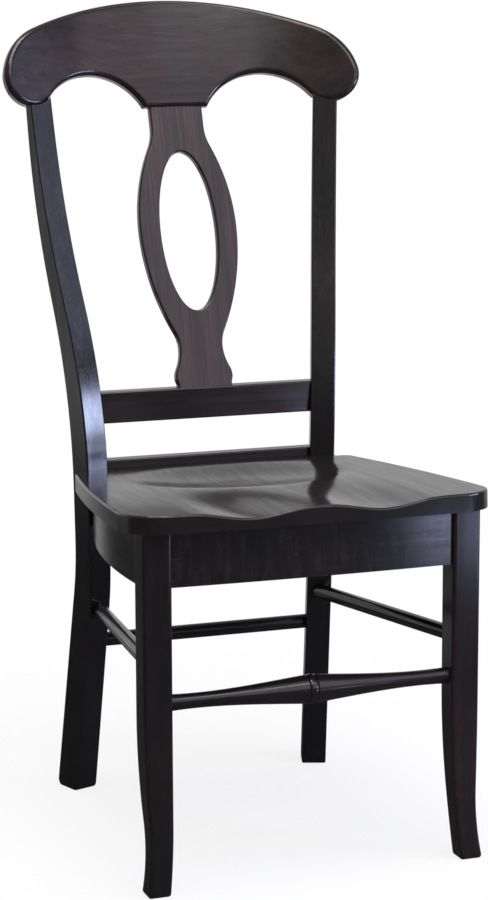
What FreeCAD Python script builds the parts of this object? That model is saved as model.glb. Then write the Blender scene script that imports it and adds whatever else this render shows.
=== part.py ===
# Wooden dining side chair: saddle seat on a framed base, swept back posts, arched crest and pierced splat.
# Frame: millimetres, +Z up, the sitter looks along -Y, the floor is z = 0 and x = 0 is the mirror plane.
# Depths named "..._behind" are measured backwards from the line through the front leg centres.
import FreeCAD, Part
import math
import os
import Sketcher
from types import SimpleNamespace

DIMENSIONS = [
    ("leg_line", 255.18, "front leg centre line, ahead of the origin"),
    ("clearance", 0.3, "play round every dowel, tenon, tongue and notch"),
    ("end_gap", 1.0, "air left at the bottom of a blind bore or mortise"),
    ("edge_round", 2.0, "rounding of the frame's long edges"),
    ("front_leg_gap", 387.0, "between the front leg centres"),
    ("front_leg_width", 35.0, "square section of a front leg above its taper"),
    ("front_leg_round", 4.0, "rounding of a front leg's edges"),
    ("taper_height", 210.5, "height where a front leg starts to taper"),
    ("waist_height", 85.5, "height where a front leg is turned out to its toe"),
    ("waist_width", 29.5, "section of a front leg at its waist"),
    ("waist_forward", 8.5, "shift of the waist ahead of the leg's centre"),
    ("waist_inward", 1.0, "shift of the waist towards the chair's middle"),
    ("toe_width", 28.5, "section of a front leg at the floor"),
    ("toe_forward", 17.5, "shift of the toe ahead of the leg's centre"),
    ("toe_outward", 5.0, "shift of the toe away from the chair's middle"),
    ("seat_height", 452.5, "top of the seat's front edge"),
    ("seat_slope", 2.6, "fall of the seat to the back, in degrees"),
    ("seat_thickness", 22.0, "seat board before it is hollowed"),
    ("seat_front", 31.0, "reach of the seat's front corners ahead of the leg line"),
    ("seat_bow", 6.0, "bow of the seat's front edge"),
    ("seat_half_front", 232.0, "half width of the seat at its front"),
    ("seat_half_rear", 187.0, "half width of the seat at its rear"),
    ("seat_side_bulge", 8.0, "bulge of each side of the seat"),
    ("seat_rear_behind", 345.5, "rear edge of the seat outside the posts"),
    ("seat_front_corner", 50.0, "radius of the seat's front corners"),
    ("seat_rear_corner", 14.0, "radius of the seat's rear corners"),
    ("seat_edge_round", 2.5, "rounding of the seat's upper edge"),
    ("bowl_depth", 11.0, "depth of the hollow at the back of the seat"),
    ("bowl_behind", 240.0, "middle of the hollow"),
    ("bowl_half_width", 152.0, "half width of the hollow"),
    ("bowl_half_length", 108.0, "half length of the hollow, front to back"),
    ("groove_depth", 9.0, "depth of the two thigh grooves at the front edge"),
    ("groove_offset", 82.0, "thigh groove from the middle of the seat"),
    ("groove_half_width", 76.0, "half width of a thigh groove"),
    ("groove_length", 190.0, "length of a thigh groove from the front edge"),
    ("apron_drop", 89.0, "underside of the aprons below the seat's front edge"),
    ("apron_thickness", 20.0, "boards of the seat frame"),
    ("front_apron_recess", 5.8, "ends of the front apron behind the front face of the legs"),
    ("front_apron_bow", 4.0, "bow of the front apron's front face"),
    ("side_apron_recess", 4.0, "side apron inside the outer face of the legs"),
    ("side_apron_rear_recess", 8.0, "side apron inside the outer edge of the posts"),
    ("side_apron_radius", 815.0, "curve of a side apron's outer face"),
    ("post_half_gap", 138.5, "middle to the inner front edge of a post at its joint height"),
    ("post_behind", 358.0, "inner front edge of a post at its joint height"),
    ("post_joint_height", 460.5, "height where a post's place is measured"),
    ("post_turn", 18.35, "turn of a post about the vertical, in degrees"),
    ("post_tilt", 1.04, "outward lean of a post, in degrees"),
    ("post_width", 32.0, "face width of a post"),
    ("post_depth", 34.5, "depth of a post at the seat"),
    ("post_mid_depth", 29.0, "depth of a post where its sweep turns"),
    ("post_top_depth", 13.0, "depth of a post at the crest"),
    ("post_foot_depth", 44.0, "depth of a post at the floor"),
    ("post_foot_sweep", 48.3, "how far the foot of a post lies behind its joint"),
    ("post_foot_round", 9.0, "rounding of a post's foot"),
    ("post_knee_height", 282.5, "height where a post starts to sweep to the floor"),
    ("post_back_knee_height", 305.5, "height where the back edge of a post starts to sweep to the floor"),
    ("post_knee_radius", 350.0, "bend of a post at its knee"),
    ("post_sweep_below", 45.0, "start of a post's sweep below the seat's front edge"),
    ("post_mid_over", 193.0, "turn of a post's sweep above the seat's front edge"),
    ("post_mid_sweep", 42.3, "sweep of a post where it turns"),
    ("post_top_height", 907.5, "top of a post before it is fitted to the crest"),
    ("post_top_sweep", 105.5, "sweep of a post at its top"),
    ("post_neck", 45.0, "straight top of a post under the crest"),
    ("crest_lean", 17.2, "lean of the crest, in degrees"),
    ("crest_thickness", 20.0, "crest board"),
    ("crest_radius", 520.0, "curve of the crest's front face in plan"),
    ("crest_setback", 8.0, "crest's middle behind the middle of the posts"),
    ("crest_base_below", 12.0, "crest's own base line below the top of the posts"),
    ("crest_top", 136.3, "top of the crest above its base line"),
    ("crest_top_radius", 432.0, "arc along the top of the crest"),
    ("crest_shoulder_radius", 87.0, "arc between the crest's top and its ends"),
    ("crest_lobe_radius", 35.5, "rounded end of the crest"),
    ("crest_lobe_out", 206.5, "lobe centre from the middle"),
    ("crest_lobe_up", 21.5, "lobe centre above the base line"),
    ("crest_arch_radius", 80.0, "arch cut under the crest"),
    ("crest_arch_out", 113.5, "arch centre from the middle"),
    ("crest_tab_drop", 8.0, "flat above the splat, below the base line"),
    ("crest_round", 6.5, "rounding of the crest's edges"),
    ("rail_over_seat", 39.0, "underside of the lower back rail above the seat's front edge"),
    ("rail_height", 40.5, "height of the lower back rail"),
    ("rail_thickness", 20.0, "boards between the posts"),
    ("rail_behind", 371.0, "front face of the lower back rail"),
    ("back_apron_behind", 366.0, "front face of the back apron"),
    ("back_apron_below", 7.5, "top of the back apron below the seat's front edge"),
    ("splat_thickness", 12.0, "splat board"),
    ("splat_tongue", 11.0, "length of the splat's tongues in the crest and the rail"),
    ("splat_foot_half", 36.5, "half width of the splat on the rail"),
    ("splat_bulb_half", 38.8, "half width of the bulb over the rail"),
    ("splat_bulb_up", 12.0, "height of the bulb over the rail"),
    ("splat_bulb_turn", 0.3, "share of the way from the bulb to the neck where the curve turns"),
    ("splat_neck_half", 29.4, "half width of the splat's neck"),
    ("splat_neck_up", 51.0, "height of the neck over the rail"),
    ("splat_neck_turn", 0.127, "share of the way from the neck to the belly where the curve turns"),
    ("splat_belly_half", 66.6, "half width of the splat at the opening"),
    ("splat_belly_up", 209.0, "height of the widest place over the rail"),
    ("splat_belly_turn", 0.81, "share of the way from the belly to the top where the curve turns"),
    ("splat_top_half", 36.2, "half width of the splat under the crest"),
    ("splat_top_below", 26.605, "place below the crest where the splat's sides start to run straight"),
    ("hole_half", 38.2, "half width of the splat's opening"),
    ("hole_bottom_up", 99.5, "foot of the opening over the rail"),
    ("hole_top_below", 60.105, "head of the opening below the crest"),
    ("splat_round", 2.5, "rounding of the splat's edges"),
    ("front_stretcher_height", 224.5, "axis of the front stretcher"),
    ("front_stretcher_end", 20.0, "diameter of the front stretcher at its ends"),
    ("front_stretcher_waist", 19.2, "diameter of the front stretcher where it is thinnest"),
    ("front_stretcher_waist_out", 112.0, "thinnest place of the front stretcher from its middle"),
    ("front_stretcher_flank", 28.6, "diameter of the front stretcher on the flank of its belly"),
    ("front_stretcher_flank_out", 41.0, "flank of the belly from the middle"),
    ("front_stretcher_belly", 34.6, "diameter of the front stretcher beside its bead"),
    ("socket_depth", 17.0, "how deep a stretcher sits in a leg"),
    ("stretcher_groove", 1.2, "depth and half width of the two turned grooves"),
    ("stretcher_bead", 5.0, "half width of the bead between the grooves"),
    ("stretcher_diameter", 18.6, "diameter of the side and back stretchers"),
    ("side_stretcher_front", 269.5, "height of a side stretcher at the front leg"),
    ("side_stretcher_rear", 251.5, "height of a side stretcher at the post"),
    ("back_stretcher_height", 204.3, "axis of the back stretcher"),
    ("dowel_diameter", 8.0, "beech dowels of the frame joints"),
    ("crest_dowel_diameter", 6.0, "slim dowels between the posts and the crest"),
    ("crest_dowel_length", 26.0, "length of a crest dowel, half in each piece"),
    ("dowel_length", 32.0, "length of a dowel, half in each piece"),
    ("dowel_low", 12.0, "lower dowel over the underside of the front and side aprons"),
    ("dowel_pitch", 22.0, "between the two dowels of a joint"),
    ("back_dowel_low", 23.0, "lower dowel over the underside of the back apron"),
    ("back_dowel_pitch", 37.0, "between the two dowels of a back apron joint"),
    ("rail_dowel_pitch", 20.0, "between the two dowels of a lower rail joint"),
    ("crest_dowel_pitch", 13.0, "between the two dowels in the top of a post"),
    ("block_height", 24.0, "height of the corner blocks"),
    ("block_near", 30.0, "face of a front block from the leg, along the front apron"),
    ("block_far", 60.0, "far end of a front block from the leg, along the front apron"),
    ("rear_block_near", 42.0, "face of a rear block from the post, along the back apron"),
    ("rear_block_far", 70.0, "far end of a rear block from the post, along the back apron"),
    ("screw_diameter", 4.5, "shank of the wood screws"),
    ("screw_head", 9.0, "head diameter of the wood screws"),
    ("screw_head_height", 3.0, "head height of the wood screws"),
    ("screw_bite", 11.0, "how deep a screw goes into the board behind the block"),
    ("screw_grip", 10.0, "wood of a block under a screw's head"),
]

doc = FreeCAD.newDocument("side_chair")
dims = doc.addObject("Spreadsheet::Sheet", "dims")
for row, (alias, value, meaning) in enumerate(DIMENSIONS, start=1):
    dims.set(f"A{row}", meaning)
    dims.set(f"B{row}", str(value))
    dims.setAlias(f"B{row}", alias)
doc.recompute()
size = SimpleNamespace(**{alias: float(dims.get(alias)) for alias, _, _ in DIMENSIONS})

X, Y, Z = FreeCAD.Vector(1, 0, 0), FreeCAD.Vector(0, 1, 0), FreeCAD.Vector(0, 0, 1)
ORIGIN = FreeCAD.Vector(0, 0, 0)
NODES = {}


def point(x, y=0.0, z=0.0):
    return FreeCAD.Vector(x, y, z)


def behind(distance):
    """The y of a place given as a distance behind the front leg line."""
    return distance - size.leg_line


def turned(axis, degrees):
    return FreeCAD.Placement(ORIGIN, FreeCAD.Rotation(axis, degrees))


def moved(x, y, z):
    return FreeCAD.Placement(point(x, y, z), FreeCAD.Rotation())


# Planes for sketches that are drawn as a front view and as a side view.
FRONT_VIEW = turned(X, 90)
SIDE_VIEW = FreeCAD.Placement(ORIGIN, FreeCAD.Rotation(Y, Z, X, "XYZ"))


def draw(sketch, curves):
    """Draws a closed outline: its curves meet end to end and are held as drawn."""
    sketch.addGeometry(curves, False)
    for index in range(len(curves)):
        sketch.addConstraint(Sketcher.Constraint("Block", index))
    return sketch


def add_sketch(name, curves, placement):
    sketch = doc.addObject("Sketcher::SketchObject", name)
    sketch.Placement = placement
    return draw(sketch, curves)


def add_body_sketch(body, name, curves):
    """An outline on the horizontal plane of a body."""
    sketch = body.newObject("Sketcher::SketchObject", name)
    plane = [item for item in body.Origin.OriginFeatures if item.Role == "XY_Plane"][0]
    sketch.AttachmentSupport = [(plane, "")]
    sketch.MapMode = "FlatFace"
    return draw(sketch, curves)


def extrude(name, sketch, length, symmetric=False):
    solid = doc.addObject("Part::Extrusion", name)
    solid.Base = sketch
    solid.DirMode = "Normal"
    solid.Solid = True
    solid.Symmetric = symmetric
    solid.setExpression("LengthFwd", length)
    return solid


def box(name, length, width, height, placement):
    solid = doc.addObject("Part::Box", name)
    solid.setExpression("Length", length)
    solid.setExpression("Width", width)
    solid.setExpression("Height", height)
    solid.Placement = placement
    return solid


def cylinder(name, radius, length, start, direction):
    solid = doc.addObject("Part::Cylinder", name)
    solid.setExpression("Radius", radius)
    solid.setExpression("Height", length)
    solid.Placement = FreeCAD.Placement(start, FreeCAD.Rotation(Z, direction))
    return solid


def group(name, members):
    compound = doc.addObject("Part::Compound", name)
    compound.Links = members
    return compound


def common(name, first, second):
    solid = doc.addObject("Part::Common", name)
    solid.Base = first
    solid.Tool = second
    return solid


def cut(name, base, tools):
    solid = doc.addObject("Part::Cut", name)
    solid.Base = base
    solid.Tool = tools[0] if len(tools) == 1 else group(name + "_tools", tools)
    return solid


def fillet(name, base, radius, wanted):
    """Rounds the edges of base for which wanted(edge) is true."""
    doc.recompute()
    solid = doc.addObject("Part::Fillet", name)
    solid.Base = base
    edges = base.Shape.Edges
    solid.Edges = [(index + 1, radius, radius) for index, edge in enumerate(edges) if wanted(edge)]
    return solid


def mirrored(name, source):
    solid = doc.addObject("Part::Mirroring", name)
    solid.Source = source
    solid.Normal = X
    solid.Base = ORIGIN
    return solid


def node(label, solid):
    solid.Label = label
    NODES[label] = solid
    return solid


def line(a, b):
    return Part.LineSegment(a, b)


def spline(points, start=None, end=None):
    """A smooth curve through the points, with end directions where they are given."""
    curve = Part.BSplineCurve()
    if start and end:
        curve.interpolate(points, InitialTangent=start, FinalTangent=end)
    else:
        curve.interpolate(points)
    return curve


def arc_from(start, heading, end):
    """The arc that leaves start along heading and reaches end, and its heading there."""
    chord = end - start
    turn = 2 * heading.getAngle(chord)
    side = heading.cross(chord).z
    if abs(side) < 1e-9:
        return line(start, end), heading
    sign = 1 if side > 0 else -1
    radius = chord.Length / 2 / math.sin(turn / 2)
    centre = start + FreeCAD.Rotation(Z, 90 * sign).multVec(heading).normalize() * radius
    middle = centre + FreeCAD.Rotation(Z, math.degrees(turn) / 2 * sign).multVec(start - centre)
    return Part.Arc(start, middle, end), FreeCAD.Rotation(Z, math.degrees(turn) * sign).multVec(heading)


def s_curve(start, end, share):
    """Two arcs between places where the outline is upright, turning at a share of the way."""
    turn = start + (end - start) * share
    first, heading = arc_from(start, Y, turn)
    second, heading = arc_from(turn, heading, end)
    return [first, second]


def mirror_x(curves):
    """The same outline on the other side of the sketch's vertical axis, in reverse order."""
    flipped = []
    for curve in reversed(curves):
        twin = curve.copy()
        twin.mirror(ORIGIN, Y)
        flipped.append(twin)
    return flipped


def along(edge, axis):
    """True where an edge does not leave the plane square to axis."""
    bounds = edge.BoundBox
    return {"x": bounds.XLength, "y": bounds.YLength, "z": bounds.ZLength}[axis] < 0.01


half_leg = size.front_leg_width / 2
leg_x = size.front_leg_gap / 2
leg_y = behind(0)
apron_bottom = size.seat_height - size.apron_drop
rail_bottom = size.seat_height + size.rail_over_seat
sweep_start = size.seat_height - size.post_sweep_below
sweep_turn = size.seat_height + size.post_mid_over
seat_frame = moved(0, behind(-size.seat_front), size.seat_height) * turned(X, -size.seat_slope)


def seat_underside(y):
    """Height of the plane under the seat at a depth y."""
    drop = (y - behind(-size.seat_front)) * math.tan(math.radians(size.seat_slope))
    return size.seat_height - size.seat_thickness / math.cos(math.radians(size.seat_slope)) - drop


# Edge of the blocks that trim pieces to a plane, longer than the chair.
SPAN = 2000


def trimmer(name, placement):
    return box(name, str(SPAN), str(SPAN), str(SPAN), placement)


# Everything above the plane under the seat and everything below the floor.
above_frame = trimmer("above_frame", seat_frame * moved(-SPAN / 2, -SPAN / 2, -size.seat_thickness))
below_floor = trimmer("below_floor", moved(-SPAN / 2, -SPAN / 2, -SPAN))

# Place of the right post: its own x runs across its face, y to its back and z up along it.
post_frame = (moved(size.post_half_gap, behind(size.post_behind), size.post_joint_height)
              * turned(Z, -size.post_turn) * turned(Y, size.post_tilt))


def post_up(height):
    """A height above the floor as a distance along the post from its joint."""
    return (height - size.post_joint_height) / math.cos(math.radians(size.post_tilt))


def post_side(offset, foot, foot_depth, knee, mid, top):
    """Front or back profile of a post from the foot up: two straight runs, the knee and the swept arcs."""
    knee_point = point(offset, post_up(knee))
    sole = point(foot + foot_depth, post_up(0) - size.end_gap)
    down = (sole - knee_point).normalize()
    reach = size.post_knee_radius * math.tan((math.pi - down.getAngle(Y)) / 2)
    knee_low, knee_high = knee_point + down * reach, knee_point + Y * reach
    knee_arc, heading = arc_from(knee_low, down * -1, knee_high)
    start = point(offset, post_up(sweep_start))
    middle = point(mid, post_up(sweep_turn))
    end = point(top, post_up(size.post_top_height))
    lower_arc, heading = arc_from(start, Y, middle)
    ahead = end - middle
    reach = (ahead.dot(ahead) - size.post_neck ** 2) / 2 / (ahead.dot(heading) + size.post_neck)
    corner = middle + heading * reach
    neck = corner + (end - corner).normalize() * reach
    upper_arc, heading = arc_from(middle, heading, neck)
    upper = [lower_arc, upper_arc, line(neck, end)]
    return sole, [line(sole, knee_low), knee_arc, line(knee_high, start)] + upper, end


def build_post():
    """The right back leg and post, sawn from one board."""
    front_sole, front, front_top = post_side(0, size.post_foot_sweep, 0, size.post_knee_height,
                                             size.post_mid_sweep, size.post_top_sweep)
    back_sole, back, back_top = post_side(size.post_depth, size.post_foot_sweep, size.post_foot_depth,
                                          size.post_back_knee_height, size.post_mid_sweep + size.post_mid_depth,
                                          size.post_top_sweep + size.post_top_depth)
    profile = front + [line(front_top, back_top)] + list(reversed(back)) + [line(back_sole, front_sole)]
    sketch = add_sketch("post_profile", profile, post_frame * SIDE_VIEW)
    board = extrude("post_board", sketch, "dims.post_width")
    local = post_frame.inverse()

    def at_sole(edge):
        ends = [local.multVec(vertex.Point) for vertex in edge.Vertexes]
        return abs(ends[0].x - ends[1].x) > size.post_width / 2 and max(end.z for end in ends) < post_up(0)

    def long_edge(edge):
        run = local.Rotation.multVec(edge.Vertexes[-1].Point - edge.Vertexes[0].Point)
        return abs(run.x) < 0.01 and abs(run.z) > abs(run.y)

    footed = fillet("post_footed", board, size.post_foot_round, at_sole)
    return fillet("post_rounded", cut("post_fitted", footed, [crest_sawn]), size.edge_round, long_edge)


def post_point(across, back, height):
    """A place in the right post: across its face, behind its joint edge and at a height above the floor."""
    return post_frame.multVec(point(across, back, post_up(height)))


post_across = post_frame.Rotation.multVec(X)
post_back = post_frame.Rotation.multVec(Y)

# Everything on the outer side of the right post's inner face, used to trim the boards between the posts.
post_inner_side = trimmer("post_inner_side", post_frame * moved(0, -SPAN / 2, -SPAN / 2))
post_inner_sides = [post_inner_side, mirrored("post_inner_side_left", post_inner_side)]

# Everything behind the right post's front face, used to trim the right side apron.
post_front_side = trimmer("post_front_side", post_frame * moved(-SPAN / 2, 0, -SPAN / 2))


def crest_outline():
    """Half outline of the crest, from its top to the flat over the splat, as tangent arcs."""
    top_centre = point(0, size.crest_top - size.crest_top_radius)
    lobe = point(size.crest_lobe_out, size.crest_lobe_up)
    first = size.crest_top_radius - size.crest_shoulder_radius
    second = size.crest_shoulder_radius - size.crest_lobe_radius
    span = lobe - top_centre
    reach = (first ** 2 - second ** 2 + span.Length ** 2) / 2 / span.Length
    offset = math.sqrt(first ** 2 - reach ** 2)
    direction = span.normalize()
    shoulder = top_centre + direction * reach + FreeCAD.Rotation(Z, 90).multVec(direction) * offset
    top = point(0, size.crest_top)
    top_end = shoulder + (shoulder - top_centre).normalize() * size.crest_shoulder_radius
    lobe_start = lobe + (lobe - shoulder).normalize() * size.crest_lobe_radius
    touch = size.crest_arch_radius + size.crest_lobe_radius
    sideways = size.crest_lobe_out - size.crest_arch_out
    arch = point(size.crest_arch_out, size.crest_lobe_up - math.sqrt(touch ** 2 - sideways ** 2))
    arch_start = arch + (lobe - arch).normalize() * size.crest_arch_radius
    rise = -size.crest_tab_drop - arch.y
    tab = point(arch.x - math.sqrt(size.crest_arch_radius ** 2 - rise ** 2), -size.crest_tab_drop)
    crown = arch + Y * size.crest_arch_radius
    lobe_middle = lobe + point(1, -1).normalize() * size.crest_lobe_radius
    top_arc, heading = arc_from(top, X, top_end)
    shoulder_arc, heading = arc_from(top_end, heading, lobe_start)
    return [top_arc, shoulder_arc, Part.Arc(lobe_start, lobe_middle, arch_start),
            Part.Arc(arch_start, crown, tab), line(tab, point(0, -size.crest_tab_drop))]


def place_crest():
    """Stands the crest on the posts: its middle surface lies a set distance behind their middle."""
    middle = post_point(size.post_width / 2, size.post_top_sweep + size.post_top_depth / 2,
                        size.post_top_height)
    lean = math.radians(size.crest_lean)
    mid_radius = size.crest_radius + size.crest_thickness / 2
    sag = mid_radius - math.sqrt(mid_radius ** 2 - middle.x ** 2)
    forward = (size.crest_thickness / 2 - sag) * math.cos(lean)
    base = size.post_top_height - size.crest_base_below
    rise = middle.z - base + (size.crest_thickness / 2 - sag) * math.sin(lean)
    y = middle.y + size.crest_setback - forward - rise * math.tan(lean)
    return moved(0, y, base) * turned(X, -size.crest_lean)


crest_frame = place_crest()
# The bent board before it is sawn: reach to both faces, below and above its base line, and half angle in plan.
CREST_DEPTH, CREST_BELOW, CREST_ABOVE, CREST_HALF_ANGLE = "400", 100, "400", 35
half_crest = crest_outline()
crest_sawn = extrude("crest_sawn", add_sketch("crest_outline", half_crest + mirror_x(half_crest),
                                              crest_frame * FRONT_VIEW), CREST_DEPTH, True)
post_blank = build_post()


def build_crest_band():
    """The bent board that the crest is sawn from, as two arcs in plan."""
    front, back = size.crest_radius, size.crest_radius + size.crest_thickness
    half = math.radians(CREST_HALF_ANGLE)
    centre = point(0, -size.crest_radius)

    def at(radius, angle):
        return centre + point(radius * math.sin(angle), radius * math.cos(angle))

    curves = [Part.Arc(at(front, -half), at(front, 0), at(front, half)),
              line(at(front, half), at(back, half)),
              Part.Arc(at(back, half), at(back, 0), at(back, -half)),
              line(at(back, -half), at(front, -half))]
    plan = add_sketch("crest_plan", curves, crest_frame * moved(0, 0, -CREST_BELOW))
    return extrude("crest_board", plan, CREST_ABOVE)


crest_blank = common("crest_blank", crest_sawn, build_crest_band())
doc.recompute()
crest_back_frame = crest_frame.inverse()


def on_crest_rim(edge):
    """True for the edges round the crest's faces, but not for those that run through its thickness."""
    ends = [crest_back_frame.multVec(vertex.Point) for vertex in edge.Vertexes]
    radii = [math.hypot(end.x, end.y + size.crest_radius) for end in ends]
    return max(radii) - min(radii) < size.crest_thickness / 2


crest_shaped = fillet("crest_shaped", crest_blank, size.crest_round, on_crest_rim)


def both(solid):
    """A tool and its mirror image on the other side of the chair."""
    return [solid, mirrored(solid.Name + "_left", solid)]


def pins(name, places, kind="dowel"):
    """Dowels at (middle, direction) places on the right side, and the bores that they sit in."""
    dowels, bores = [], []
    diameter, length = f"dims.{kind}_diameter", f"dims.{kind}_length"
    reach = getattr(size, kind + "_length") / 2
    for index, (middle, direction) in enumerate(places):
        dowels.append(cylinder(f"{name}_pin_{index}", diameter + " / 2", length,
                               middle - direction * reach, direction))
        bores.append(cylinder(f"{name}_bore_{index}", diameter + " / 2 + dims.clearance",
                              length + " + 2 * dims.end_gap",
                              middle - direction * (reach + size.end_gap), direction))
    return group(name + "_pins", dowels), group(name + "_bores", bores)


# Dowel joints of the right side.
front_apron_y = leg_y - half_leg + size.front_apron_recess
apron_heights = [apron_bottom + size.dowel_low + step * size.dowel_pitch for step in (0, 1)]
front_joint, front_bores = pins("front_joint", [
    (point(leg_x - half_leg, front_apron_y + size.apron_thickness / 2, height), X) for height in apron_heights])

side_front = point(leg_x + half_leg - size.side_apron_recess, leg_y + half_leg)
side_rear = post_point(size.post_width - size.side_apron_rear_recess, 0, apron_bottom)
side_rear.z = 0
side_chord = side_rear - side_front
side_middle = (side_front + side_rear) * 0.5
side_height = math.sqrt(size.side_apron_radius ** 2 - (side_chord.Length / 2) ** 2)
side_centre = side_middle + FreeCAD.Rotation(Z, 90).multVec(side_chord).normalize() * side_height


def side_apron_x(y, inset=0.0):
    """The x of a side apron's outer face, or of a surface inset from it, at a depth y."""
    radius = size.side_apron_radius - inset
    return side_centre.x + math.sqrt(radius ** 2 - (y - side_centre.y) ** 2)


half_apron = size.apron_thickness / 2
leg_back_y = leg_y + half_leg
leg_joint, leg_bores = pins("leg_joint", [
    (point(side_apron_x(leg_back_y, half_apron), leg_back_y, height), Y) for height in apron_heights])
post_joint_across = size.post_width - size.side_apron_rear_recess - half_apron
post_joint, post_bores = pins("post_joint", [
    (post_point(post_joint_across, 0, height), post_back) for height in apron_heights])
back_joint_back = (size.back_apron_behind + size.rail_thickness / 2 - size.post_behind) / post_back.y
back_joint, back_bores = pins("back_joint", [
    (post_point(0, back_joint_back, apron_bottom + size.back_dowel_low + step * size.back_dowel_pitch),
     post_across) for step in (0, 1)])
rail_joint_back = (size.rail_behind + size.rail_thickness / 2 - size.post_behind) / post_back.y
rail_middle = rail_bottom + size.rail_height / 2
rail_joint, rail_bores = pins("rail_joint", [
    (post_point(0, rail_joint_back, rail_middle + step * size.rail_dowel_pitch / 2), post_across)
    for step in (-1, 1)])


def crest_joint_places():
    """Middles of the dowels between the right post and the crest's lobe, and their direction."""
    mid_radius = size.crest_radius + size.crest_thickness / 2
    top_back = size.post_top_sweep + size.post_top_depth / 2
    mid_back = size.post_mid_sweep + size.post_mid_depth / 2
    places = []
    for step in (-1, 1):
        across = size.post_width / 2 + step * size.crest_dowel_pitch / 2
        post_middle = post_point(across, top_back, size.post_top_height)
        aside = post_middle.x - size.crest_lobe_out
        lobe_bottom = size.crest_lobe_up - math.sqrt(size.crest_lobe_radius ** 2 - aside ** 2)
        depth = math.sqrt(mid_radius ** 2 - post_middle.x ** 2) - size.crest_radius
        crest_middle = crest_frame.multVec(point(post_middle.x, depth, lobe_bottom))
        post_low = post_point(across, mid_back, sweep_turn)
        share = (crest_middle.z - post_low.z) / (post_middle.z - post_low.z)
        post_place = post_low + (post_middle - post_low) * share
        places.append(((post_place * 2 + crest_middle) * (1 / 3), crest_frame.Rotation.multVec(Z)))
    return places


crest_joint, crest_bores = pins("crest_joint", crest_joint_places(), "crest_dowel")
node("apron_dowels", group("apron_dowels", both(group("apron_pins", [
    front_joint, leg_joint, post_joint, back_joint]))))
node("rail_dowels", group("rail_dowels", both(rail_joint)))
node("crest_dowels", group("crest_dowels", both(crest_joint)))


def post_front_at(height):
    """How far a post's front has swept back at a height below its knee."""
    return size.post_foot_sweep * (size.post_knee_height - height) / size.post_knee_height


def rung(name, start, end):
    """A plain round stretcher between two faces, set in sockets, and the sockets."""
    direction = (end - start).normalize()
    length = (end - start).Length
    solid = cylinder(name, "dims.stretcher_diameter / 2", f"{length} + 2 * dims.socket_depth",
                     start - direction * size.socket_depth, direction)
    sockets = cylinder(name + "_sockets", "dims.stretcher_diameter / 2 + dims.clearance",
                       f"{length} + 2 * dims.socket_depth + 2 * dims.end_gap",
                       start - direction * (size.socket_depth + size.end_gap), direction)
    return solid, sockets


side_rung, side_sockets = rung(
    "side_rung", point(leg_x, leg_back_y, size.side_stretcher_front),
    post_point(size.post_width / 2, post_front_at(size.side_stretcher_rear), size.side_stretcher_rear))
back_rung_end = post_point(0, post_front_at(size.back_stretcher_height) + size.post_depth / 2,
                           size.back_stretcher_height)
back_rung, back_sockets = rung("back_rung", point(-back_rung_end.x, back_rung_end.y, back_rung_end.z),
                               back_rung_end)
node("side_stretcher_right", side_rung)
node("side_stretcher_left", mirrored("side_rung_left", side_rung))
node("back_stretcher", back_rung)


def build_front_stretcher():
    """Turned front stretcher: slim ends, a belly and a bead between two grooves at its middle."""
    face = leg_x - half_leg
    groove = size.stretcher_groove
    radii = [(face, size.front_stretcher_end), (size.front_stretcher_waist_out, size.front_stretcher_waist),
             (size.front_stretcher_flank_out, size.front_stretcher_flank),
             (size.stretcher_bead + groove, size.front_stretcher_belly)]
    turned_side = [point(out, diameter / 2) for out, diameter in radii]
    deep = point(size.stretcher_bead, size.front_stretcher_belly / 2 - groove)
    bead_end = point(size.stretcher_bead - groove, size.front_stretcher_belly / 2)
    bead_top = point(0, size.front_stretcher_belly / 2 + groove / 2)
    tip = point(face + size.socket_depth, size.front_stretcher_end / 2)
    half = [line(point(tip.x, 0), tip), line(tip, turned_side[0]), spline(turned_side),
            line(turned_side[-1], deep), line(deep, bead_end)]
    bead = Part.Arc(bead_end, bead_top, point(-bead_end.x, bead_end.y))
    profile = half + [bead] + mirror_x(half) + [line(point(-tip.x, 0), point(tip.x, 0))]
    body = doc.addObject("PartDesign::Body", "front_stretcher_body")
    sketch = add_body_sketch(body, "front_stretcher_profile", profile)
    turning = body.newObject("PartDesign::Revolution", "front_stretcher_turning")
    turning.Profile = sketch
    turning.ReferenceAxis = (sketch, ["H_Axis"])
    turning.Angle = 360
    body.Placement = moved(0, leg_y, size.front_stretcher_height)
    return body


node("front_stretcher", build_front_stretcher())
front_socket = cylinder("front_socket", "dims.front_stretcher_end / 2 + dims.clearance",
                        "dims.socket_depth + 2 * dims.end_gap",
                        point(leg_x - half_leg - size.end_gap, leg_y, size.front_stretcher_height), X)


def leg_view(name, near, far, placement):
    """One face of a front leg: straight above the taper, then swept to the waist and the toe."""
    top = size.seat_height
    sides = []
    for start, waist, toe in (near, far):
        swept, heading = arc_from(point(start, size.taper_height), Y * -1, point(waist, size.waist_height))
        flare, heading = arc_from(point(waist, size.waist_height), heading, point(toe, 0))
        sides.append([line(point(start, top), point(start, size.taper_height)), swept, flare])
    left, right = sides
    curves = left + [line(point(near[2], 0), point(far[2], 0))] + list(reversed(right))
    curves.append(line(point(far[0], top), point(near[0], top)))
    return extrude(name, add_sketch(name + "_outline", curves, placement), str(SPAN), True)


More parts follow.
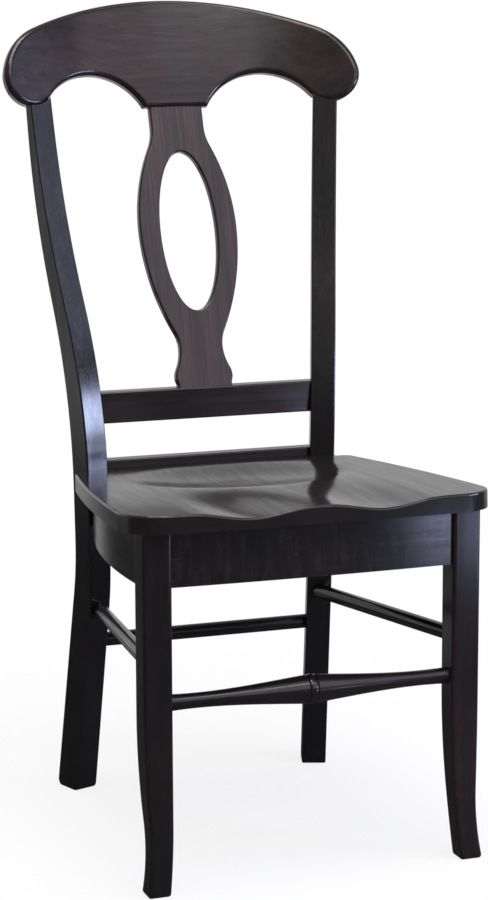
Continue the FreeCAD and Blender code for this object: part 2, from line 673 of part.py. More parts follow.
def build_front_leg():
    """Square front leg, tapered and turned out to its toe, sawn on two faces."""
    half_waist, half_toe = size.waist_width / 2, size.toe_width / 2
    seen_from_front = leg_view(
        "leg_front_view",
        (-half_leg, -size.waist_inward - half_waist, size.toe_outward - half_toe),
        (half_leg, -size.waist_inward + half_waist, size.toe_outward + half_toe),
        moved(leg_x, leg_y, 0) * FRONT_VIEW)
    seen_from_side = leg_view(
        "leg_side_view",
        (-half_leg, -size.waist_forward - half_waist, -size.toe_forward - half_toe),
        (half_leg, -size.waist_forward + half_waist, -size.toe_forward + half_toe),
        moved(leg_x, leg_y, 0) * SIDE_VIEW)
    blank = common("leg_blank", seen_from_front, seen_from_side)
    return fillet("leg_rounded", blank, size.front_leg_round,
                  lambda edge: edge.BoundBox.ZMin < (size.taper_height + size.seat_height) / 2)


front_leg = node("front_leg_right", cut("front_leg_right", build_front_leg(), [
    above_frame, front_bores, leg_bores, front_socket, side_sockets]))
node("front_leg_left", mirrored("front_leg_left", front_leg))
back_post = node("back_post_right", cut("back_post_right", post_blank, [
    below_floor, post_bores, back_bores, rail_bores, crest_bores, side_sockets, back_sockets]))
node("back_post_left", mirrored("back_post_left", back_post))

# Splat: a flat board from the middle of the rail to the middle of the crest, with a tongue in each.
splat_foot = point(0, behind(size.rail_behind) + size.rail_thickness / 2, rail_bottom + size.rail_height)
splat_head = crest_frame.multVec(point(0, size.crest_thickness / 2, -size.crest_tab_drop))
splat_run = splat_head - splat_foot
splat_lean = math.degrees(math.atan2(splat_run.y, splat_run.z))
splat_frame = moved(splat_foot.x, splat_foot.y, splat_foot.z) * turned(X, -splat_lean)
splat_length = splat_run.Length


def build_splat():
    foot, bulb = point(size.splat_foot_half, 0), point(size.splat_bulb_half, size.splat_bulb_up)
    neck = point(size.splat_neck_half, size.splat_neck_up)
    belly = point(size.splat_belly_half, size.splat_belly_up)
    shoulder = point(size.splat_top_half, splat_length - size.splat_top_below)
    bottom = point(foot.x, -size.splat_tongue)
    top = point(shoulder.x, splat_length + size.splat_tongue)
    half = ([line(point(0, bottom.y), bottom), line(bottom, foot)] + s_curve(foot, bulb, 0.5)
            + s_curve(bulb, neck, size.splat_bulb_turn) + s_curve(neck, belly, size.splat_neck_turn)
            + s_curve(belly, shoulder, size.splat_belly_turn)
            + [line(shoulder, top), line(top, point(0, top.y))])
    hole_top = splat_length - size.hole_top_below
    centre = point(0, (size.hole_bottom_up + hole_top) / 2)
    hole = Part.Ellipse(centre + Y * ((hole_top - size.hole_bottom_up) / 2),
                        centre + X * size.hole_half, centre)
    board = extrude("splat_board", add_sketch("splat_outline", half + mirror_x(half) + [hole],
                                              splat_frame * FRONT_VIEW), "dims.splat_thickness", True)
    local = splat_frame.inverse()

    def on_rim(edge):
        ends = [local.multVec(vertex.Point) for vertex in edge.Vertexes]
        across = abs(ends[0].y - ends[-1].y) > size.splat_thickness / 2
        tongue_end = len(ends) == 2 and abs(ends[0].z - ends[1].z) < 0.01
        return not across and not tongue_end

    return fillet("splat", board, size.splat_round, on_rim)


def mortise(name, half_width, start, length):
    """Room for one of the splat's tongues."""
    corner = point(-half_width - size.clearance, -size.splat_thickness / 2 - size.clearance, start)
    return box(name, f"{2 * half_width} + 2 * dims.clearance", "dims.splat_thickness + 2 * dims.clearance",
               str(length), splat_frame * moved(corner.x, corner.y, corner.z))


node("splat", build_splat())
tongue_room = size.splat_tongue + size.end_gap
rail_mortise = mortise("rail_mortise", size.splat_foot_half, -tongue_room, 2 * tongue_room)
crest_mortise = mortise("crest_mortise", size.splat_top_half, splat_length - tongue_room, 2 * tongue_room)
node("crest_rail", cut("crest_rail", crest_shaped, [crest_mortise] + both(crest_bores)))


def cross_board(name, front, bottom, height):
    """A board from post to post with rounded long edges, before its ends are trimmed."""
    reach = 2 * size.post_half_gap
    blank = box(name + "_blank", str(2 * reach), "dims.rail_thickness", height, moved(-reach, front, bottom))
    return fillet(name + "_rounded", blank, size.edge_round, lambda edge: along(edge, "y") and along(edge, "z"))


lower_rail = cross_board("lower_rail", behind(size.rail_behind), rail_bottom, "dims.rail_height")
node("lower_back_rail", cut("lower_back_rail", lower_rail,
                            post_inner_sides + [rail_mortise] + both(rail_bores)))


def block_outline(first, second, third, fourth):
    corners = [first, second, third, fourth]
    return [line(corner, corners[(index + 1) % 4]) for index, corner in enumerate(corners)]


def screw(name, head_seat, direction):
    """A wood screw whose head bears on head_seat, and the bore and counterbore that it needs."""
    length = "dims.screw_grip + dims.screw_bite"
    shank = cylinder(name + "_shank", "dims.screw_diameter / 2", length, head_seat, direction)
    head = cylinder(name + "_head", "dims.screw_head / 2", "dims.screw_head_height", head_seat, direction * -1)
    solid = doc.addObject("Part::Fuse", name)
    solid.Base, solid.Tool = shank, head
    bore = cylinder(name + "_bore", "dims.screw_diameter / 2 + dims.clearance", length + " + dims.end_gap",
                    head_seat, direction)
    room = cylinder(name + "_room", "dims.screw_head / 2 + dims.clearance", "3 * dims.block_height",
                    head_seat, direction * -1)
    return solid, bore, room


def build_block(name, outline, seat_screw, board_screw, apron_screw):
    """A corner block under the seat with its three screws: seat, cross board and side apron."""
    plane = seat_underside(seat_screw.y)
    body = doc.addObject("PartDesign::Body", name + "_body")
    sketch = add_body_sketch(body, name + "_outline", outline)
    pad = body.newObject("PartDesign::Pad", name + "_pad")
    pad.Profile = sketch
    pad.setExpression("Length", "2 * dims.block_height")
    body.Placement = moved(0, 0, plane - size.block_height)
    seat_screw.z = plane - size.screw_grip
    level = plane - size.block_height / 2
    for place, direction in (board_screw, apron_screw):
        place.z = level
    made = [screw(f"{name}_screw_{index}", place, direction)
            for index, (place, direction) in enumerate([(seat_screw, Z), board_screw, apron_screw])]
    bores = [tool for _, bore, room in made for tool in (bore, room)]
    return body, made, bores


def front_block():
    board_y = front_apron_y + size.apron_thickness
    inner_x = leg_x - half_leg
    near, far = size.block_near, size.block_far
    first, second = point(inner_x - far, board_y), point(inner_x - near, board_y)
    third = point(side_apron_x(leg_back_y + near, half_apron), leg_back_y + near)
    fourth = point(side_apron_x(leg_back_y + far, half_apron), leg_back_y + far)
    middle = (first + second + third + fourth) * 0.25
    board = point((first.x + second.x) / 2, board_y + size.screw_grip)
    side_y = (third.y + fourth.y) / 2
    apron = point(side_apron_x(side_y, size.apron_thickness) - size.screw_grip, side_y)
    return build_block("front_block", block_outline(first, second, third, fourth), middle,
                       (board, Y * -1), (apron, X))


def rear_block():
    board_y = behind(size.back_apron_behind)
    near, far = size.rear_block_near, size.rear_block_far
    first = point(size.post_half_gap - near, board_y)
    second = point(size.post_half_gap - far, board_y)
    third = point(side_apron_x(board_y - far, half_apron), board_y - far)
    fourth = point(side_apron_x(board_y - near, half_apron), board_y - near)
    middle = (first + second + third + fourth) * 0.25
    board = point((first.x + second.x) / 2, board_y - size.screw_grip)
    side_y = (third.y + fourth.y) / 2
    apron = point(side_apron_x(side_y, size.apron_thickness) - size.screw_grip, side_y)
    return build_block("rear_block", block_outline(first, second, third, fourth), middle,
                       (board, Y), (apron, X))


front_block_body, front_screws, front_block_bores = front_block()
rear_block_body, rear_screws, rear_block_bores = rear_block()


def build_side_apron():
    """Curved side board between the front leg and the post."""
    spare = size.apron_thickness * 2 / size.side_apron_radius
    start = math.atan2(side_front.y - side_centre.y, side_front.x - side_centre.x) - spare
    end = math.atan2(side_rear.y - side_centre.y, side_rear.x - side_centre.x) + spare

    def at(radius, angle):
        return side_centre + point(radius * math.cos(angle), radius * math.sin(angle))

    outer, inner = size.side_apron_radius, size.side_apron_radius - size.apron_thickness
    middle = (start + end) / 2
    curves = [Part.Arc(at(outer, start), at(outer, middle), at(outer, end)),
              line(at(outer, end), at(inner, end)),
              Part.Arc(at(inner, end), at(inner, middle), at(inner, start)),
              line(at(inner, start), at(outer, start))]
    plan = add_sketch("side_apron_plan", curves, moved(0, 0, apron_bottom))
    board = extrude("side_apron_board", plan, "dims.apron_drop")
    ahead = trimmer("ahead_of_leg_back", moved(-SPAN / 2, leg_back_y - SPAN, -SPAN / 2))
    return cut("side_apron_trimmed", board, [ahead, post_front_side, above_frame])


side_apron_blank = build_side_apron()
apron_screw_bores = [front_screws[2][1], rear_screws[2][1]]
side_apron = node("side_apron_right", cut("side_apron_right", side_apron_blank,
                                          [leg_bores, post_bores] + apron_screw_bores))
node("side_apron_left", mirrored("side_apron_left", side_apron))


def build_front_apron():
    """Front board between the legs: flat behind, with a slightly bowed front face."""
    half = leg_x - half_leg
    left, right = point(-half, front_apron_y), point(half, front_apron_y)
    deep = Y * size.apron_thickness
    curves = [Part.Arc(left, point(0, front_apron_y - size.front_apron_bow), right),
              line(right, right + deep), line(right + deep, left + deep), line(left + deep, left)]
    return extrude("front_apron_board", add_sketch("front_apron_plan", curves, moved(0, 0, apron_bottom)),
                   "dims.apron_drop")


node("front_apron", cut("front_apron", build_front_apron(),
                        [above_frame] + both(front_bores) + both(front_screws[1][1])))
back_apron_blank = cross_board("back_apron", behind(size.back_apron_behind), apron_bottom,
                               "dims.apron_drop - dims.back_apron_below")
node("back_apron", cut("back_apron", back_apron_blank,
                       post_inner_sides + both(back_bores) + both(rear_screws[1][1])))

for end, body, bores in (("front", front_block_body, front_block_bores),
                         ("rear", rear_block_body, rear_block_bores)):
    block = node(f"{end}_corner_block_right", cut(f"{end}_corner_block_right", body,
                                                  [above_frame, side_apron_blank] + bores))
    node(f"{end}_corner_block_left", mirrored(f"{end}_corner_block_left", block))
node("seat_screws", group("seat_screws", both(front_screws[0][0]) + both(rear_screws[0][0])))
node("corner_block_screws", group("corner_block_screws", [
    solid for made in (front_screws, rear_screws) for screw_parts in made[1:]
    for solid in both(screw_parts[0])]))


def hollow(x, y):
    """Depth of the saddle at a place of the seat, y measured back from its front corners."""
    out = min(math.hypot(x / size.bowl_half_width,
                         (y - size.seat_front - size.bowl_behind) / size.bowl_half_length), 1)
    bowl = size.bowl_depth * (1 - out ** 3) ** 2
    across = min(abs(abs(x) - size.groove_offset) / size.groove_half_width, 1)
    back = min(max(y, 0) / size.groove_length, 1)
    groove = size.groove_depth * (math.cos(across * math.pi / 2) * math.cos(back * math.pi / 2)) ** 2
    return bowl + groove


def build_seat():
    """Saddle seat: a board cut to its outline and hollowed from above."""
    rear = size.seat_rear_behind + size.seat_front
    back = size.back_apron_behind + size.seat_front + size.seat_thickness
    notch = post_point(size.post_width, 0, size.seat_height).x
    front_corner, rear_corner = point(size.seat_half_front, 0), point(size.seat_half_rear, rear)
    side = point((size.seat_half_front + size.seat_half_rear) / 2 + size.seat_side_bulge, rear / 2)
    half = [Part.Arc(front_corner, side, rear_corner), line(rear_corner, point(notch, rear)),
            line(point(notch, rear), point(notch, back)), line(point(notch, back), point(0, back))]
    front = Part.Arc(front_corner, point(0, -size.seat_bow), point(-size.seat_half_front, 0))
    body = doc.addObject("PartDesign::Body", "seat_body")
    sketch = add_body_sketch(body, "seat_outline", [front] + half + mirror_x(half))
    pad = body.newObject("PartDesign::Pad", "seat_board")
    pad.Profile = sketch
    pad.setExpression("Length", "2 * dims.seat_thickness")
    pad.Midplane = True
    doc.recompute()

    def round_corners(name, base, radius, wanted):
        corners = [f"Edge{index}" for index, edge in enumerate(base.Shape.Edges, start=1)
                   if along(edge, "x") and along(edge, "y") and wanted(edge.BoundBox)]
        rounding = body.newObject("PartDesign::Fillet", name)
        rounding.Base = (base, corners)
        rounding.setExpression("Radius", radius)
        doc.recompute()
        return rounding

    fronted = round_corners("seat_front_corners", pad, "dims.seat_front_corner",
                            lambda bounds: bounds.YMax < rear / 2)
    outside = (notch + size.seat_half_rear) / 2
    round_corners("seat_rear_corners", fronted, "dims.seat_rear_corner",
                  lambda bounds: bounds.YMax > rear / 2 and abs(bounds.XMax) > outside)
    body.Placement = seat_frame
    return body


def on_seat_rim(edge):
    """True for the front and side edges of the seat's hollowed top."""
    ends = [seat_frame.inverse().multVec(vertex.Point) for vertex in edge.Vertexes]
    at_top = min(end.z for end in ends) > -size.seat_thickness / 4
    return at_top and min(end.y for end in ends) < (size.seat_rear_behind + size.seat_front) / 2


def build_saddle():
    """Everything above the hollowed top of the seat, as a tool."""
    steps = 30
    wide, deep = 1.3 * size.seat_half_front, 1.2 * (size.seat_rear_behind + size.seat_front)
    rows = []
    for row in range(steps + 1):
        y = -0.15 * deep + deep * 1.15 * row / steps
        xs = [wide * (2 * column / steps - 1) for column in range(steps + 1)]
        rows.append([point(x, y, -hollow(x, y)) for x in xs])
    surface = Part.BSplineSurface()
    surface.interpolate(rows)
    tool = doc.addObject("Part::Feature", "saddle")
    tool.Shape = surface.toShape().extrude(Z * (4 * size.seat_thickness))
    tool.Placement = seat_frame
    return tool


post_notch = box("post_notch", "dims.post_width + 2 * dims.clearance", "4 * dims.post_depth",
                 "8 * dims.seat_thickness",
                 post_frame * moved(-size.clearance, -size.clearance, post_up(size.seat_height)
                                    - 4 * size.seat_thickness))
behind_seat = trimmer("behind_seat", moved(-SPAN / 2, behind(size.back_apron_behind), -SPAN / 2))
seat_fitted = cut("seat_fitted", build_seat(), [build_saddle(), behind_seat] + both(post_notch)
                  + both(front_screws[0][1]) + both(rear_screws[0][1]))
node("seat", fillet("seat", seat_fitted, size.seat_edge_round, on_seat_rim))

doc.recompute()
for item in doc.Objects:
    if {"Invalid", "Error"} & set(item.State):
        raise RuntimeError(f"{item.Name} did not build: {item.State}")
for label, item in NODES.items():
    if item.Shape.isNull() or not item.Shape.isValid():
        raise RuntimeError(f"{label} has no valid shape")
os.makedirs("parts", exist_ok=True)
for label, item in NODES.items():
    item.Shape.exportStep(f"parts/{label}.step")
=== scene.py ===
import bpy
import math
from mathutils import Matrix, Vector

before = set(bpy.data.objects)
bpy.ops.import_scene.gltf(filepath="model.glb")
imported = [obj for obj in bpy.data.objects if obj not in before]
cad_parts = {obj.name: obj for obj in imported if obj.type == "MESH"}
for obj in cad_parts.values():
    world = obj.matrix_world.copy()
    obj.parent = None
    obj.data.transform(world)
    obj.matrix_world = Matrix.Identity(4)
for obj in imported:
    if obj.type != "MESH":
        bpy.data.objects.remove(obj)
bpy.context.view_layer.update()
scene = bpy.context.scene
scene.view_settings.view_transform = "Standard"

# Camera: to the left of the chair's front and above the seat. Lengths are in metres, picture places in pixels.
FRAME_WIDTH, FRAME_HEIGHT = 488, 900
AZIMUTH, ELEVATION, ROLL = math.radians(-19.883), math.radians(9.847), math.radians(-0.15)
TARGET = Vector((0.0, -0.05518, 0.49691))
DISTANCE = 3.20349
FOCAL_PIXELS = 2592.51
CENTRE_X, CENTRE_Y = 252.06, 434.63
SENSOR = 36.0
CLIP_END = 50.0

# Lamps: place, point that they face, width, height, power in watts and colour.
WHITE = (1.0, 1.0, 1.0)
LAMPS = {
    "overhead": ((-0.2, -0.3, 2.9), (0.0, 0.0, 0.4), 1.5, 1.5, 56.0, (1.0, 0.99, 0.98)),
    "front_box": ((1.06, -2.18, 1.97), (0.32, 0.1, 0.75), 2.36, 2.1, 20.2, (1.0, 0.88, 0.98)),
    "front_top": ((0.3, -1.9, 2.9), (0.0, 0.0, 0.5), 1.6, 0.7, 16.0, WHITE),
    "back_floor": ((0.0, 1.3, 0.2), (0.0, 1.6, 1.15), 1.8, 1.1, 6.0, WHITE),
    "window_low": ((1.75, -1.18, 0.69), (-0.15, 0.1, 0.6), 0.9, 0.36, 28.0, (0.57, 0.68, 1.0)),
    "window_high": ((1.75, -0.8, 1.6), (-0.1, 0.1, 0.9), 1.4, 0.7, 4.5, (0.55, 0.6, 1.0)),
    "floor_glow": ((0.98, -1.2, 0.16), (0.16, -0.27, 0.4), 0.66, 0.14, 2.2, (0.62, 0.67, 1.0)),
}

# Room: its strength as a light, and in reflections in front of the chair, behind it and overhead.
ROOM_LIGHT, ROOM_FRONT, ROOM_BACK, ROOM_UPPER = 0.3, 0.08, 0.6, 0.3
ROOM_FRONT_END, ROOM_BACK_START = -0.1, 0.7
ROOM_HORIZON, ROOM_UPPER_START = 0.02, 0.3

# Floor: its form and shade, and how its white grows away from the chair.
FLOOR_RADIUS, FLOOR_SIDES, FLOOR_SHADE = 4.0, 96, 0.9
FLOOR_GLOW, FLOOR_FADE_START, FLOOR_FADE_END = 0.82, 0.35, 0.95

# Floor in reflections: its strength near the chair, behind it and far behind, and where these begin and end.
MIRROR_NEAR, MIRROR_REAR, MIRROR_FAR = 0.05, 0.35, 0.8
MIRROR_LEFT, MIRROR_RIGHT = -0.6, -0.2
MIRROR_BEHIND_START, MIRROR_BEHIND_END = 0.3, 0.9
MIRROR_FAR_START, MIRROR_FAR_END = 2.0, 3.0

# Noises: scale across and along the grain, detail, roughness and distortion.
NOISES = {
    "figure": (16.0, 1.1, 4.0, 0.55, 1.2),
    "fibre": (420.0, 9.0, 3.0, 0.6, 0.0),
    "pores": (1500.0, 70.0, 1.0, 0.5, 0.0),
    "streak": (70.0, 2.2, 5.0, 0.65, 0.6),
    "blotch": (7.0, 7.0, 2.0, 0.5, 0.4),
    "peel": (260.0, 260.0, 2.0, 0.5, 0.0),
    "ripple": (22.0, 150.0, 2.0, 0.5, 0.6),
    "bare_figure": (40.0, 3.0, 4.0, 0.6, 0.8),
    "bare_fibre": (600.0, 14.0, 2.0, 0.6, 0.0),
    "turning": (900.0, 1800.0, 2.0, 0.5, 0.0),
}
NOISE_LOW, NOISE_HIGH = 0.3, 0.7
SEED_STEP = (1.37, 0.71, 0.53)

# Stain: its colours, and the noise values between which each one comes in.
STAIN_DARK = (0.0053, 0.0053, 0.0052)
STAIN_MID = (0.0086, 0.0086, 0.0083)
STAIN_RED = (0.0420, 0.0170, 0.0185)
STAIN_LIGHT = (0.0124, 0.0120, 0.0117)
STAIN_CURL = (0.0210, 0.0205, 0.0195)
STAIN_PORE = (0.0031, 0.0030, 0.0029)
FIGURE_LOW, FIGURE_HIGH = 0.36, 0.66
RED_LOW, RED_HIGH, RED_BLOTCH_LEAST, RED_STREAK_LEAST = 0.35, 0.65, 0.3, 0.1
LIGHT_LOW, LIGHT_HIGH, LIGHT_SHARE = 0.35, 0.7, 0.5
CURL_LOW, CURL_HIGH = 0.42, 0.75
PORE_LOW, PORE_HIGH, PORE_SHARE = 0.62, 0.74, 0.8

# Lacquer: roughness, relief and the strength of its reflection.
ROUGH_LOW, ROUGH_HIGH = 0.15, 0.2
FIBRE_SMOOTHER, FIBRE_ROUGHER = -0.02, 0.03
PORE_RELIEF, FIBRE_RELIEF, PEEL_RELIEF, RELIEF_DEPTH = 0.07, 0.06, 0.03, 0.0001
SPECULAR_BARE, SPECULAR_LACQUER = 0.12, 0.24
COAT_LOW, COAT_HIGH, COAT_ROUGHNESS = 0.1, 0.7, 0.14

# Hidden pieces: bare wood and plated screws.
BEECH_DARK, BEECH_LIGHT, BEECH_ROUGHNESS = (0.42, 0.27, 0.16), (0.62, 0.44, 0.28), 0.5
BLOCK_DARK, BLOCK_LIGHT, BLOCK_ROUGHNESS = (0.018, 0.012, 0.011), (0.035, 0.024, 0.02), 0.55
BARE_FIGURE_LOW, BARE_FIGURE_HIGH = 0.35, 0.65
BARE_FIBRE_LOW, BARE_FIBRE_HIGH, BARE_FIBRE_SHARE = 0.5, 0.75, 0.5
BARE_SMOOTHER, BARE_ROUGHER = 0.06, 0.08
BARE_RELIEF, BARE_RELIEF_DEPTH = 0.25, 0.0002
STEEL_DARK, STEEL_LIGHT = (0.42, 0.42, 0.41), (0.62, 0.62, 0.6)
STEEL_ROUGH_LOW, STEEL_ROUGH_HIGH, STEEL_RELIEF = 0.25, 0.42, 0.1

# Boards: direction of the grain, and how the stain and lacquer of a board differ from the usual.
ACROSS, DEEP, UPRIGHT = (1, 0, 0), (0, 1, 0), (0, 0, 1)
SPLAT_LEAN = math.radians(18.3)
ALONG_SPLAT = (0, math.sin(SPLAT_LEAN), math.cos(SPLAT_LEAN))
BOARDS = {
    "crest_rail": (ACROSS, {"warmth": 0.6, "lacquer": 0.72}),
    "splat": (ALONG_SPLAT, {"warmth": 0.9}),
    "lower_back_rail": (ACROSS, {"warmth": 0.5, "lacquer": 1.3}),
    "back_post_left": (UPRIGHT, {}),
    "back_post_right": (UPRIGHT, {}),
    "seat": (DEEP, {"warmth": 0.2, "relief": 0.3}),
    "front_apron": (ACROSS, {"curl": 0.6}),
    "side_apron_left": (DEEP, {}),
    "side_apron_right": (DEEP, {}),
    "back_apron": (ACROSS, {}),
    "front_leg_left": (UPRIGHT, {}),
    "front_leg_right": (UPRIGHT, {"warmth": 0.4}),
    "front_stretcher": (ACROSS, {}),
    "side_stretcher_left": (DEEP, {}),
    "side_stretcher_right": (DEEP, {}),
    "back_stretcher": (ACROSS, {}),
}
BLOCKS = {
    "front_corner_block_left": (1, -1, 0),
    "front_corner_block_right": (1, 1, 0),
    "rear_corner_block_left": (1, 1, 0),
    "rear_corner_block_right": (1, -1, 0),
}
DOWELS = ("apron_dowels", "rail_dowels", "crest_dowels")
SCREWS = ("seat_screws", "corner_block_screws")
BOARD_SEED, BLOCK_SEED, BEECH_SEED, SCREW_SEED = 1, 31, 41, 3


def add_camera():
    back = Vector((math.sin(AZIMUTH) * math.cos(ELEVATION), -math.cos(AZIMUTH) * math.cos(ELEVATION),
                   math.sin(ELEVATION)))
    level = Vector((math.cos(AZIMUTH), math.sin(AZIMUTH), 0.0))
    upright = back.cross(level)
    right = level * math.cos(ROLL) + upright * math.sin(ROLL)
    up = upright * math.cos(ROLL) - level * math.sin(ROLL)
    data = bpy.data.cameras.new("camera")
    data.sensor_width = SENSOR
    data.lens = FOCAL_PIXELS / FRAME_HEIGHT * SENSOR
    data.shift_x = (FRAME_WIDTH / 2 - CENTRE_X) / FRAME_HEIGHT
    data.shift_y = (CENTRE_Y - FRAME_HEIGHT / 2) / FRAME_HEIGHT
    data.clip_end = CLIP_END
    camera = bpy.data.objects.new("camera", data)
    turn = Matrix((right, up, back)).transposed().to_4x4()
    camera.matrix_world = Matrix.Translation(TARGET + back * DISTANCE) @ turn
    scene.collection.objects.link(camera)
    scene.camera = camera


def add_lamp(name, place, aim, width, height, power, colour):
    data = bpy.data.lights.new(name, "AREA")
    data.shape = "RECTANGLE"
    data.size = width
    data.size_y = height
    data.energy = power
    data.color = colour
    lamp = bpy.data.objects.new(name, data)
    lamp.location = place
    lamp.rotation_euler = (Vector(aim) - Vector(place)).to_track_quat("-Z", "Y").to_euler()
    lamp.visible_camera = False
    scene.collection.objects.link(lamp)


def feed(tree, socket, value):
    """Joins a socket to another node's output, or sets a plain value on it."""
    if isinstance(value, bpy.types.NodeSocket):
        tree.links.new(value, socket)
    elif socket.type == "RGBA":
        socket.default_value = (*value, 1.0)
    else:
        socket.default_value = value


def add_node(tree, kind, inputs, **settings):
    node = tree.nodes.new(kind)
    for name, value in settings.items():
        setattr(node, name, value)
    for key, value in inputs.items():
        feed(tree, node.inputs[key], value)
    return node


def combined(tree, operation, first, second):
    return add_node(tree, "ShaderNodeMath", {0: first, 1: second}, operation=operation).outputs[0]


def in_range(tree, value, low, high, to_low=0.0, to_high=1.0):
    """A value between low and high, carried over to the range from to_low to to_high and kept inside it."""
    return add_node(tree, "ShaderNodeMapRange", {
        "Value": value, "From Min": low, "From Max": high, "To Min": to_low, "To Max": to_high}).outputs[0]


def coordinates(tree, kind):
    return add_node(tree, "ShaderNodeTexCoord", {}).outputs[kind]


def ray_kinds(tree):
    """Masks of the rays from the camera or through clear surfaces, and of those that gloss reflects."""
    path = add_node(tree, "ShaderNodeLightPath", {})
    seen = combined(tree, "MAXIMUM", path.outputs["Is Camera Ray"], path.outputs["Is Transmission Ray"])
    return seen, path.outputs["Is Glossy Ray"]


def build_world():
    """White for the camera, an even grey as light, and in reflections a room that is darker in front."""
    world = bpy.data.worlds.new("studio")
    scene.world = world
    world.use_nodes = True
    tree = world.node_tree
    tree.nodes.clear()
    direction = add_node(tree, "ShaderNodeSeparateXYZ", {0: coordinates(tree, "Generated")})
    back = in_range(tree, direction.outputs["Y"], ROOM_FRONT_END, ROOM_BACK_START, ROOM_FRONT, ROOM_BACK)
    upper = in_range(tree, direction.outputs["Z"], ROOM_HORIZON, ROOM_UPPER_START, 0.0, ROOM_UPPER)
    seen, glossy = ray_kinds(tree)
    unseen = add_node(tree, "ShaderNodeMix", {
        "Factor": glossy, "A": ROOM_LIGHT, "B": combined(tree, "MAXIMUM", back, upper)}, data_type="FLOAT")
    background = add_node(tree, "ShaderNodeBackground", {
        "Color": WHITE, "Strength": combined(tree, "MAXIMUM", seen, unseen.outputs["Result"])})
    add_node(tree, "ShaderNodeOutputWorld", {"Surface": background.outputs[0]})


def build_floor():
    """Pale round floor that keeps the chair's shadow and fades to white."""
    bpy.ops.mesh.primitive_circle_add(vertices=FLOOR_SIDES, radius=FLOOR_RADIUS, fill_type="NGON")
    floor = bpy.context.object
    floor.name = "floor"
    material = bpy.data.materials.new("floor")
    material.use_nodes = True
    tree = material.node_tree
    tree.nodes.clear()
    place = coordinates(tree, "Object")
    away = add_node(tree, "ShaderNodeVectorMath", {0: place}, operation="LENGTH").outputs["Value"]
    split = add_node(tree, "ShaderNodeSeparateXYZ", {0: place})
    seen, glossy = ray_kinds(tree)

    matt = add_node(tree, "ShaderNodeBsdfDiffuse", {"Color": (FLOOR_SHADE, FLOOR_SHADE, FLOOR_SHADE)})
    white = add_node(tree, "ShaderNodeEmission", {"Strength": 1.0})
    fade = in_range(tree, away, FLOOR_FADE_START, FLOOR_FADE_END, FLOOR_GLOW, 1.0)
    direct = add_node(tree, "ShaderNodeMixShader", {
        "Fac": combined(tree, "MULTIPLY", fade, seen), 1: matt.outputs[0], 2: white.outputs[0]})

    far = in_range(tree, away, MIRROR_FAR_START, MIRROR_FAR_END, 0.0, MIRROR_FAR)
    rear = in_range(tree, split.outputs["X"], MIRROR_LEFT, MIRROR_RIGHT, 0.0, MIRROR_REAR)
    behind = in_range(tree, split.outputs["Y"], MIRROR_BEHIND_START, MIRROR_BEHIND_END)
    strength = combined(tree, "MULTIPLY", combined(tree, "MAXIMUM", far, rear), behind)
    mirrored = add_node(tree, "ShaderNodeEmission", {
        "Strength": combined(tree, "MAXIMUM", strength, MIRROR_NEAR)})
    surface = add_node(tree, "ShaderNodeMixShader", {
        "Fac": glossy, 1: direct.outputs[0], 2: mirrored.outputs[0]})
    add_node(tree, "ShaderNodeOutputMaterial", {"Surface": surface.outputs[0]})
    floor.data.materials.append(material)


def grain_vector(tree, grain, seed):
    """Coordinates of a piece, turned so that z runs along its grain and shifted by the board's seed."""
    return add_node(tree, "ShaderNodeMapping", {
        "Vector": coordinates(tree, "Object"),
        "Location": [step * seed for step in SEED_STEP],
        "Rotation": Vector(grain).rotation_difference(Vector(UPRIGHT)).to_euler()}).outputs["Vector"]


def noise(tree, vector, kind):
    across, along, detail, roughness, distortion = NOISES[kind]
    stretched = add_node(tree, "ShaderNodeMapping", {"Vector": vector, "Scale": (across, across, along)})
    return add_node(tree, "ShaderNodeTexNoise", {
        "Vector": stretched.outputs["Vector"], "Scale": 1.0, "Detail": detail, "Roughness": roughness,
        "Distortion": distortion}).outputs["Fac"]


def blended(tree, share, first, second):
    node = add_node(tree, "ShaderNodeMix", {"Factor": share, "A": first, "B": second}, data_type="RGBA")
    return node.outputs["Result"]


def bumped(tree, height, strength, depth, below=None):
    """A normal bent by a height, on top of an earlier bend if there is one."""
    inputs = {"Height": height, "Strength": strength, "Distance": depth}
    if below is not None:
        inputs["Normal"] = below
    return add_node(tree, "ShaderNodeBump", inputs).outputs["Normal"]


def new_material(name):
    material = bpy.data.materials.new(name)
    material.use_nodes = True
    tree = material.node_tree
    return material, tree, tree.nodes["Principled BSDF"]


def set_surface(tree, shader, values):
    for name, value in values.items():
        feed(tree, shader.inputs[name], value)


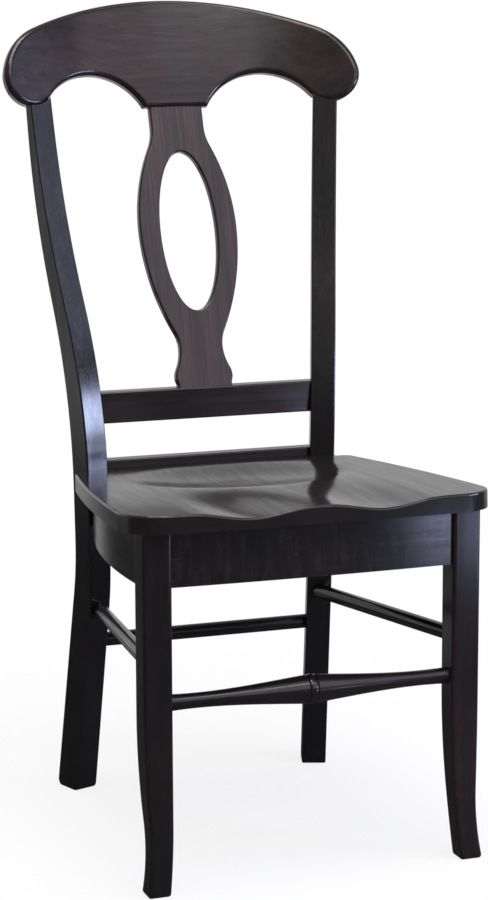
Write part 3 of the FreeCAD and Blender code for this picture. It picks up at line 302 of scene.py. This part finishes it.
def stained_wood(name, grain, seed, relief=1.0, warmth=0.1, lacquer=1.0, curl=0.1):
    """Close-grained hardwood under a near-black brown stain and satin lacquer."""
    material, tree, shader = new_material(name)
    vector = grain_vector(tree, grain, seed)
    figure, fibre, pores, streak, blotch, peel, ripple = [
        noise(tree, vector, kind)
        for kind in ("figure", "fibre", "pores", "streak", "blotch", "peel", "ripple")]

    tone = blended(tree, in_range(tree, figure, FIGURE_LOW, FIGURE_HIGH), STAIN_DARK, STAIN_MID)
    red = combined(tree, "MULTIPLY", in_range(tree, blotch, RED_LOW, RED_HIGH, RED_BLOTCH_LEAST, 1.0),
                   in_range(tree, streak, RED_LOW, RED_HIGH, RED_STREAK_LEAST, warmth))
    tone = blended(tree, red, tone, STAIN_RED)
    tone = blended(tree, in_range(tree, fibre, LIGHT_LOW, LIGHT_HIGH, 0.0, LIGHT_SHARE), tone, STAIN_LIGHT)
    tone = blended(tree, in_range(tree, ripple, CURL_LOW, CURL_HIGH, 0.0, curl), tone, STAIN_CURL)
    tone = blended(tree, in_range(tree, pores, PORE_LOW, PORE_HIGH, 0.0, PORE_SHARE), tone, STAIN_PORE)

    roughness = combined(tree, "ADD", in_range(tree, peel, NOISE_LOW, NOISE_HIGH, ROUGH_LOW, ROUGH_HIGH),
                         in_range(tree, fibre, NOISE_LOW, NOISE_HIGH, FIBRE_SMOOTHER, FIBRE_ROUGHER))
    normal = bumped(tree, pores, PORE_RELIEF * relief, -RELIEF_DEPTH)
    normal = bumped(tree, fibre, FIBRE_RELIEF * relief, RELIEF_DEPTH, normal)
    normal = bumped(tree, peel, PEEL_RELIEF * relief, RELIEF_DEPTH, normal)
    coat = combined(tree, "MULTIPLY", in_range(tree, streak, NOISE_LOW, NOISE_HIGH, 0.0, lacquer),
                    in_range(tree, fibre, NOISE_LOW, NOISE_HIGH, COAT_LOW, COAT_HIGH))
    set_surface(tree, shader, {
        "Base Color": tone, "Roughness": roughness, "Normal": normal, "Coat Weight": coat,
        "Coat Roughness": COAT_ROUGHNESS, "Specular IOR Level": SPECULAR_BARE + SPECULAR_LACQUER * lacquer})
    return material


def bare_wood(name, grain, seed, dark, light, roughness):
    """Unlacquered wood of the hidden dowels and corner blocks."""
    material, tree, shader = new_material(name)
    vector = grain_vector(tree, grain, seed)
    figure, fibre = noise(tree, vector, "bare_figure"), noise(tree, vector, "bare_fibre")
    tone = blended(tree, in_range(tree, figure, BARE_FIGURE_LOW, BARE_FIGURE_HIGH), dark, light)
    lines = in_range(tree, fibre, BARE_FIBRE_LOW, BARE_FIBRE_HIGH, 0.0, BARE_FIBRE_SHARE)
    tone = blended(tree, lines, tone, dark)
    set_surface(tree, shader, {
        "Base Color": tone,
        "Roughness": in_range(tree, fibre, NOISE_LOW, NOISE_HIGH, roughness - BARE_SMOOTHER,
                              roughness + BARE_ROUGHER),
        "Normal": bumped(tree, fibre, BARE_RELIEF, BARE_RELIEF_DEPTH)})
    return material


def screw_steel(name):
    """Zinc-plated steel with fine turning marks."""
    material, tree, shader = new_material(name)
    marks = noise(tree, grain_vector(tree, UPRIGHT, SCREW_SEED), "turning")
    set_surface(tree, shader, {
        "Base Color": blended(tree, marks, STEEL_DARK, STEEL_LIGHT),
        "Roughness": in_range(tree, marks, NOISE_LOW, NOISE_HIGH, STEEL_ROUGH_LOW, STEEL_ROUGH_HIGH),
        "Normal": bumped(tree, marks, STEEL_RELIEF, RELIEF_DEPTH),
        "Metallic": 1.0})
    return material


def dress(node, material):
    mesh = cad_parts[node].data
    mesh.materials.clear()
    mesh.materials.append(material)


def dress_chair():
    for seed, (node, (grain, finish)) in enumerate(BOARDS.items(), start=BOARD_SEED):
        dress(node, stained_wood("stained_" + node, grain, seed, **finish))
    for seed, (node, grain) in enumerate(BLOCKS.items(), start=BLOCK_SEED):
        dress(node, bare_wood("block_" + node, grain, seed, BLOCK_DARK, BLOCK_LIGHT, BLOCK_ROUGHNESS))
    beech = bare_wood("beech", ACROSS, BEECH_SEED, BEECH_DARK, BEECH_LIGHT, BEECH_ROUGHNESS)
    for node in DOWELS:
        dress(node, beech)
    steel = screw_steel("screw_steel")
    for node in SCREWS:
        dress(node, steel)


add_camera()
build_world()
build_floor()
for lamp_name, lamp_values in LAMPS.items():
    add_lamp(lamp_name, *lamp_values)
dress_chair()
